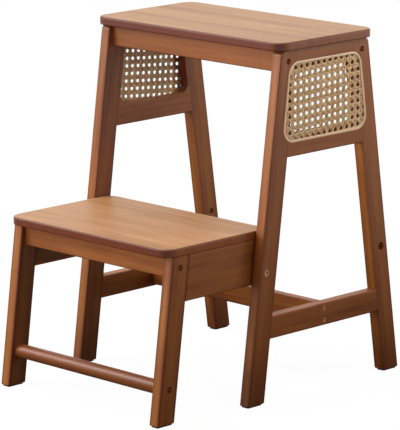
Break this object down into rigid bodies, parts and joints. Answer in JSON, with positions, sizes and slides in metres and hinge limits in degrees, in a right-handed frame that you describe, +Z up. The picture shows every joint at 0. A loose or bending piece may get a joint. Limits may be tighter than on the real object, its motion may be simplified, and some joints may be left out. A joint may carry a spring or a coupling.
{
  "type": "step stool",
  "caption": "Bamboo step stool with cane-webbed sides and a lower step unit that swings over on pivot bolts to stow inside the main frame.",
  "frame": {"origin": "middle of the footprint's box, on the floor", "axes": "+X to the right of someone who faces away from the step's front, +Y to the rear, +Z up"},
  "size_m": [0.368, 0.4612, 0.5],
  "materials": {
    "bamboo": "satin walnut stain",
    "dowel_wood": "raw beech",
    "cane": "natural woven cane",
    "rattan_spline": "natural rattan",
    "bronzed_steel": "bronze plated",
    "insert_brass": "plain",
    "washer_nylon": "matt nylon",
    "foot_rubber": "matt"
  },
  "bodies": {
    "main_frame": {"seat_board": "bamboo", "seat_front_apron": "bamboo", "seat_rear_apron": "bamboo", "cross_rail": "bamboo", "left_front_leg": "bamboo", "left_rear_leg": "bamboo", "right_front_leg": "bamboo", "right_rear_leg": "bamboo", "left_side_panel": "bamboo", "right_side_panel": "bamboo", "left_lower_rail": "bamboo", "right_lower_rail": "bamboo", "left_cane_panel": "cane", "right_cane_panel": "cane", "left_cane_spline": "rattan_spline", "right_cane_spline": "rattan_spline", "seat_apron_screws": "bronzed_steel", "cross_rail_screws": "bronzed_steel", "seat_screws": "bronzed_steel", "panel_dowels": "dowel_wood", "lower_rail_dowels": "dowel_wood", "seat_dowels": "dowel_wood", "main_foot_pads": "foot_rubber"},
    "step": {"step_tread": "bamboo", "step_front_apron": "bamboo", "step_rung": "bamboo", "left_step_leg": "bamboo", "right_step_leg": "bamboo", "left_step_rail": "bamboo", "right_step_rail": "bamboo", "step_apron_screws": "bronzed_steel", "rung_screws": "bronzed_steel", "tread_screws": "bronzed_steel", "step_rail_dowels": "dowel_wood", "tread_dowels": "dowel_wood", "left_pivot_bolt": "bronzed_steel", "right_pivot_bolt": "bronzed_steel", "pivot_inserts": "insert_brass", "pivot_washers": "washer_nylon", "step_foot_pads": "foot_rubber"}
  },
  "joints": [
    {"name": "step_flip", "type": "hinge", "parent": "main_frame", "child": "step", "pos_m": [0, -0.0385, 0.185], "axis": [-1, 0, 0], "range_deg": [0, 182.3]}
  ]
}
